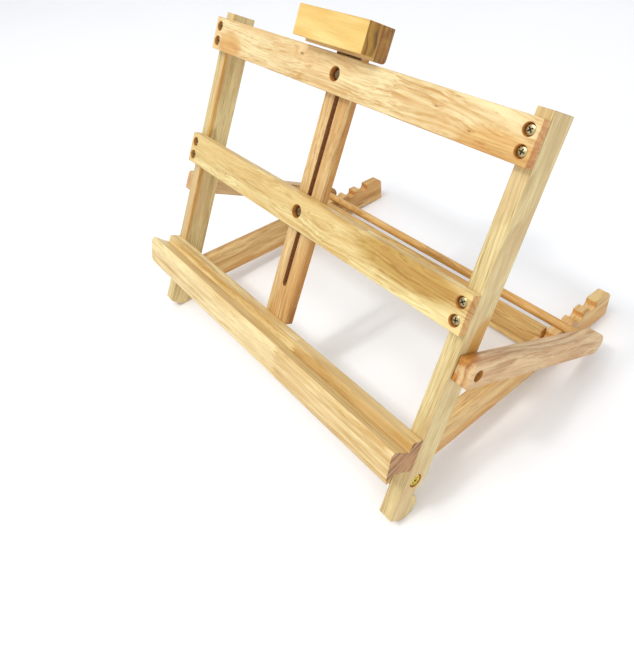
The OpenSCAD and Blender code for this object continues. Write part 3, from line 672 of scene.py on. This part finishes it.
# ---------------------------------------------------------------- arms and rod
front, rear = -ARM_NOSE, ROD_ALONG + ARM_TAIL
shape = arc(front + 3.0, -ARM_H / 2 + 3.0, 3.0, 180, 270, 5) + arc(rear - ARM_H / 2, 0, ARM_H / 2, -90, 90, 24)
shape += arc(front + 3.5, ARM_H / 2 - 3.5, 3.5, 90, 180, 5)
for side, tag, mat in ((-1, "left", m_arm_l), (1, "right", m_arm_r)):
    inner, outer = side * (HALF + GAP), side * (HALF + GAP + ARM_T)
    tools = [hole((outer, 0, 0), (-side, 0, 0), ARM_BORE, ARM_BORE_R, ARM_T + 1, FREE_HOLE_R),
             hole((inner, ROD_ALONG, ROD_DROP), (side, 0, 0), ROD_IN, ROD_R + 0.02, mouth=0.2)]
    board("arm_%s_wood" % tag, shape, sorted((inner, outer)), 1.2, IN_PROP, "prop", mat, "pine_arm", "arm_" + tag,
          tools)

reach, chamfer = HALF + GAP + ROD_IN, 0.6
verts, faces = turned([(0, -reach), (ROD_R - chamfer, -reach), (ROD_R, -reach + chamfer), (ROD_R, reach - chamfer),
                       (ROD_R - chamfer, reach), (0, reach)], (0, 0, 0), (1, 0, 0), 64)
ob = new_obj("rod_wood", new_mesh("rod", verts, faces))
make_outward(ob.data)
shade(ob)
ob.matrix_world = place(ROD_Y, ROD_Z, 0)
finish_piece(ob, "prop", m_rod, "pine_dark", "rod")


# ---------------------------------------------------------------- metal parts
def domed(head_r, head_h, shank_r, length, rim=0.30, dome=0.55):
    """Profile of a screw with a domed head; z = 0 is under the head."""
    prof = [(0, -length), (shank_r * 0.4, -length + 1), (shank_r, -length + 4), (shank_r, 0), (head_r - 0.2, 0),
            (head_r, 0.25), (head_r, head_h * rim)]
    prof += [(head_r * math.cos(rad(a)), head_h * (rim + dome * math.sin(rad(a)))) for a in range(12, 90, 11)]
    return prof + [(0, head_h * (rim + dome))]


def cross_head(name, spots, prof, cross=3.1, deep=1.7):
    """Screws of one profile with a cross recess; each spot is (origin, axis, spin)."""
    top = prof[-1][1]
    solids, tools = [], []
    for origin, axis, spin in spots:
        solids.append(turned(prof, origin, axis, 40, spin))
        turn = aim(axis, spin)
        for quarter in (0, 1):
            v = []
            for z, l, w in ((top - deep, cross * 0.55, 0.42), (top + 0.6, cross + 0.4, 0.72)):
                v += [(-l, -w, z), (l, -w, z), (l, w, z), (-l, w, z)]
            if quarter:
                v = [(-y, x, z) for x, y, z in v]
            v = [tuple(Vector(origin) + turn @ Vector(q)) for q in v]
            tools.append((v, [(3, 2, 1, 0), (4, 5, 6, 7), (0, 1, 5, 4), (1, 2, 6, 5), (2, 3, 7, 6), (3, 0, 4, 7)]))
    verts, faces = join(solids)
    ob = new_obj(name, new_mesh(name, verts, faces))
    make_outward(ob.data)
    cut(ob, tools)
    shade(ob, 38)
    return ob


spots = [((side * (HALF - SCREW_IN), RAIL_BORE - RAIL_T, s0 + up_by), (0, -1, 0), rng.uniform(0, 1.5))
         for s0 in (UPPER_S, LOWER_S) for side in (-1, 1) for up_by in SCREW_ROWS]
ob = cross_head("rail_screws_brass", spots, domed(5.2, 3.0, 2.0, 26))
ob.matrix_world = IN_FRAME
finish_piece(ob, "frame", [m_brass, m_recess], "brass", "rail_screws")
# the foot screws have a raised ring round a lower middle
ringed = [(0, -28), (1.1, -27), (2.75, -24), (2.75, 0), (6.8, 0), (6.8, 0.7), (6.5, 1.5), (5.9, 2.1), (5.1, 2.3),
          (4.5, 2.0), (4.0, 0.7), (3.7, 0.3), (3.4, 0.6), (2.9, 1.3), (1.7, 1.8), (0, 2.0)]
spots = [((side * (HALF - FOOT_BORE), 0, 0), (side, 0, 0), 0.5 * side) for side in (-1, 1)]
ob = cross_head("foot_screws_brass", spots, ringed, cross=2.3, deep=1.5)
ob.matrix_world = place(BY, BZ, 0)
finish_piece(ob, "base", [m_gold, m_recess], "brass", "foot_pivot_screws")

# bolts of the mast: threaded end, shank and a domed head deep in its bore; the head's dark colour is painted shade of
# the bore
BOLT_R, BOLT_HEAD_R = 3.0, 6.6
prof = [(0, -33.6), (2.4, -33.6), (BOLT_R, -33.0)]
z = -33.0
while z < -22.0:
    prof += [(BOLT_R, z + 0.1), (2.65, z + 0.5), (BOLT_R, z + 0.9)]
    z += 1.0
prof += [(BOLT_R, 0.0), (6.3, 0.0), (BOLT_HEAD_R, 0.4)]
prof += [(BOLT_HEAD_R * math.cos(rad(a)), 0.6 + 2.8 * math.sin(rad(a))) for a in range(10, 90, 10)] + [(0, 3.4)]
verts, faces = join([turned(prof, (0, BOLT_BORE - RAIL_T, s0 + RAIL_H / 2), (0, -1, 0), 40)
                     for s0 in (UPPER_S, LOWER_S)])
ob = new_obj("mast_bolts_in_painted_shade", new_mesh("bolts", verts, faces))
make_outward(ob.data)
shade(ob, 40)
ob.matrix_world = IN_FRAME
finish_piece(ob, "frame", [m_bolt], "steel", "mast_bolts")

# the hidden metal keeps its CAD shape
for name in ("tray_screws", "mast_washers", "arm_pivot_screws", "clamp_screws", "crossbar_screws",
             "wing_nut_upper", "wing_nut_lower"):
    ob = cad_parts[name]
    if ob.material_slots:
        for held in ob.material_slots:
            held.material = m_steel
    else:
        ob.data.materials.append(m_steel)

# ---------------------------------------------------------------- floor, light and camera
FLOOR = 9.0        # half the side of the floor, in metres
floor_me = bpy.data.meshes.new("floor")
floor_me.from_pydata([(-FLOOR, -FLOOR, 0), (FLOOR, -FLOOR, 0), (FLOOR, FLOOR, 0), (-FLOOR, FLOOR, 0)], [],
                     [(0, 1, 2, 3)])
floor = new_obj("floor", floor_me)
t = Tree("pale_floor")
clouds = t.ramp(t.noise(t.node("ShaderNodeTexCoord").outputs["Object"], 3.0, 3.0), 0.3, 0.7)
floor_me.materials.append(t.surface(t.mix(clouds, (0.925, 0.935, 0.955), (0.94, 0.95, 0.97)), 0.75,
                                    {"Specular IOR Level": 0.2}))

world = bpy.data.worlds.new("studio")
scene.world = world
world.use_nodes = True
bg = world.node_tree.nodes["Background"]
bg.inputs[0].default_value = (0.98, 0.99, 1.0, 1)
bg.inputs[1].default_value = 0.83


def area(name, loc, target, size, power):
    """A square lamp at loc that faces target."""
    light = bpy.data.lights.new(name, "AREA")
    light.shape, light.size, light.energy = "SQUARE", size, power
    ob = bpy.data.objects.new(name, light)
    scene.collection.objects.link(ob)
    ob.location = loc
    ob.rotation_euler = (Vector(target) - Vector(loc)).to_track_quat("-Z", "Y").to_euler()


area("key", (-0.30, -1.3, 2.9), (0.0, 0.0, 0.1), 1.3, 26)
area("spot", (-0.22, -1.75, 2.85), (0.0, 0.0, 0.1), 0.30, 19)
area("fill", (2.1, -0.9, 0.9), (0.0, 0.0, 0.15), 1.4, 7)

# the camera comes from one fit of the object's corners: angles, place in metres, and lens and middle in pixels
YAW, PITCH_DOWN, ROLL = 0.95731, 0.67746, -0.14141
CAMERA_AT = (0.48423, -0.18085 - MID_Y * MM, 0.58935)
IMAGE_W, IMAGE_H, SENSOR = 634, 657, 36.0
LENS_PX, MIDDLE_X, MIDDLE_Y = 596.99, 343.83, 265.21
cam_data = bpy.data.cameras.new("camera")
cam = bpy.data.objects.new("camera", cam_data)
scene.collection.objects.link(cam)
scene.camera = cam
fwd = Vector((-math.sin(YAW) * math.cos(PITCH_DOWN), math.cos(YAW) * math.cos(PITCH_DOWN), -math.sin(PITCH_DOWN)))
level = Vector((math.cos(YAW), math.sin(YAW), 0))
upright = level.cross(fwd)
right = math.cos(ROLL) * level + math.sin(ROLL) * upright
up = -math.sin(ROLL) * level + math.cos(ROLL) * upright
rot = Matrix((right, up, -fwd)).transposed()
cam.matrix_world = Matrix.Translation(CAMERA_AT) @ rot.to_4x4()
cam_data.sensor_fit = "AUTO"
cam_data.sensor_width = SENSOR
cam_data.lens = LENS_PX / IMAGE_H * SENSOR
cam_data.shift_x = (IMAGE_W / 2 - MIDDLE_X) / IMAGE_H
cam_data.shift_y = (MIDDLE_Y - IMAGE_H / 2) / IMAGE_H
cam_data.clip_start, cam_data.clip_end = 0.02, 60
scene.view_settings.view_transform = "Standard"
scene.view_settings.look = "None"
